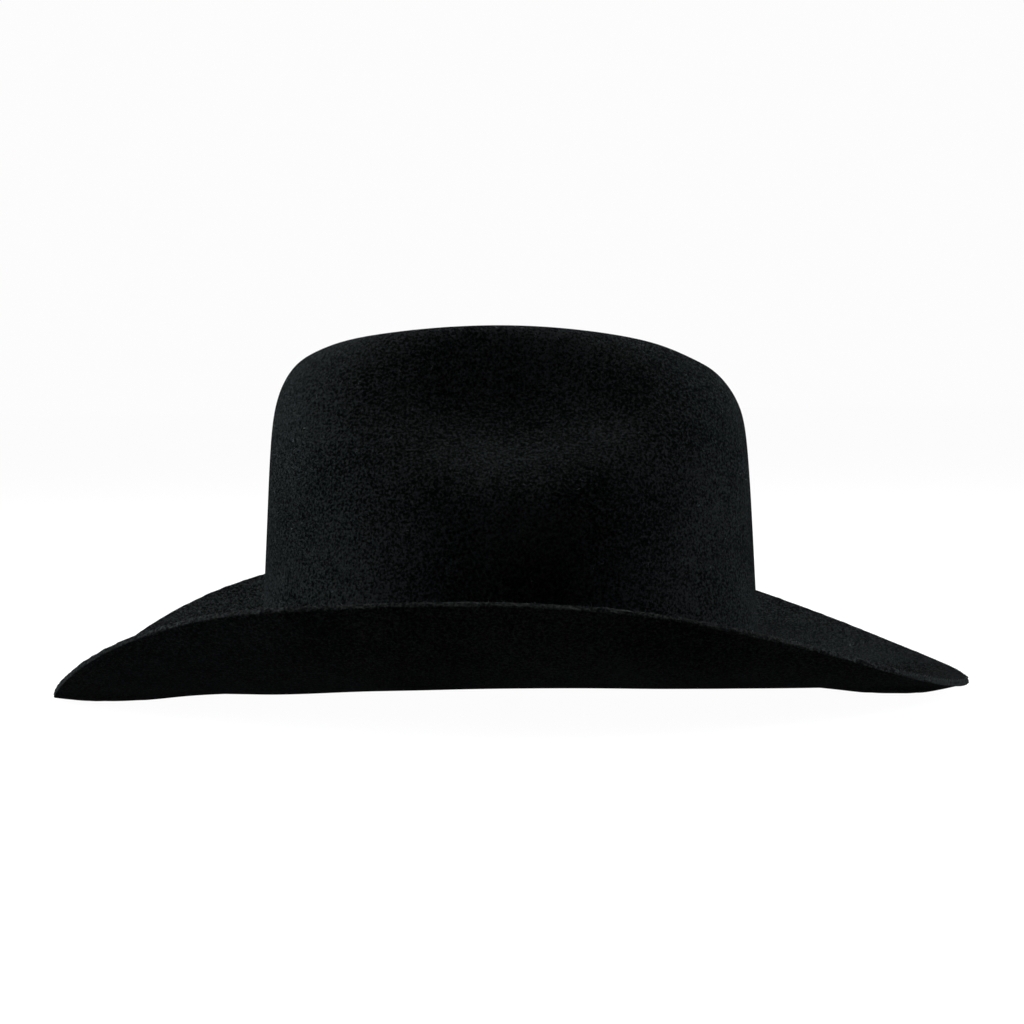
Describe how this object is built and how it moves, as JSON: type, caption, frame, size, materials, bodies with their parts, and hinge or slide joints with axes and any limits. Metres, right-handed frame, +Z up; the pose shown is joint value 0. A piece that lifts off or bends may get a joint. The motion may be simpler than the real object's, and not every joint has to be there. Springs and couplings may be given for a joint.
{
  "type": "cowboy hat",
  "caption": "Western hat in black felt: tall crown with a middle crease and two side dents, wide brim rolled up at the sides, leather sweatband, satin lining, narrow band with a buckle.",
  "frame": {"origin": "centre of the footprint, on the surface the hat stands on", "axes": "+X to the front of the hat, +Y to the wearer's left, +Z up"},
  "size_m": [0.3869, 0.3168, 0.1558],
  "materials": {
    "felt": "black fur felt with a short dull nap, raw cut edge",
    "band_felt": "thin black felt strap",
    "sweatband_leather": "smooth dark brown leather, slightly shiny",
    "reed_plastic": "round plastic reed",
    "oilcloth": "coated black tape",
    "thread": "waxed thread",
    "satin_ribbon": "satin ribbon",
    "lining_satin": "black satin",
    "hem_ribbon": "grosgrain ribbon",
    "piping_satin": "satin covered cord",
    "clear_vinyl": "clear flexible vinyl",
    "tag_card": "blank off-white woven label",
    "buckle_metal": "polished silver-coloured metal"
  },
  "bodies": {
    "hat": {"felt_body": "felt", "sweatband_leather": "sweatband_leather", "sweatband_reed": "reed_plastic", "reed_tape": "oilcloth", "sweatband_stitching": "thread", "back_seam_tape": "oilcloth", "back_seam_stitch": "thread", "sweatband_bow": "satin_ribbon", "size_tag": "tag_card", "lining_side": "lining_satin", "lining_hem_tape": "hem_ribbon", "lining_tip": "lining_satin", "lining_piping": "piping_satin", "tip_shield": "clear_vinyl", "shield_stitching": "thread"},
    "band": {"hat_band": "band_felt", "band_buckle": "buckle_metal", "band_keeper": "buckle_metal", "band_tip": "buckle_metal"},
    "tongue": {"buckle_tongue": "buckle_metal"}
  },
  "joints": [
    {"name": "band_lift", "type": "slide", "parent": "hat", "child": "band", "axis": [0, 0, 1], "range_m": [0, 0.16]},
    {"name": "tongue_hinge", "type": "hinge", "parent": "band", "child": "tongue", "pos_m": [0.00009, 0.09124, 0.02475], "axis": [0, -0.0953, 0.9955], "range_deg": [0, 60]}
  ]
}
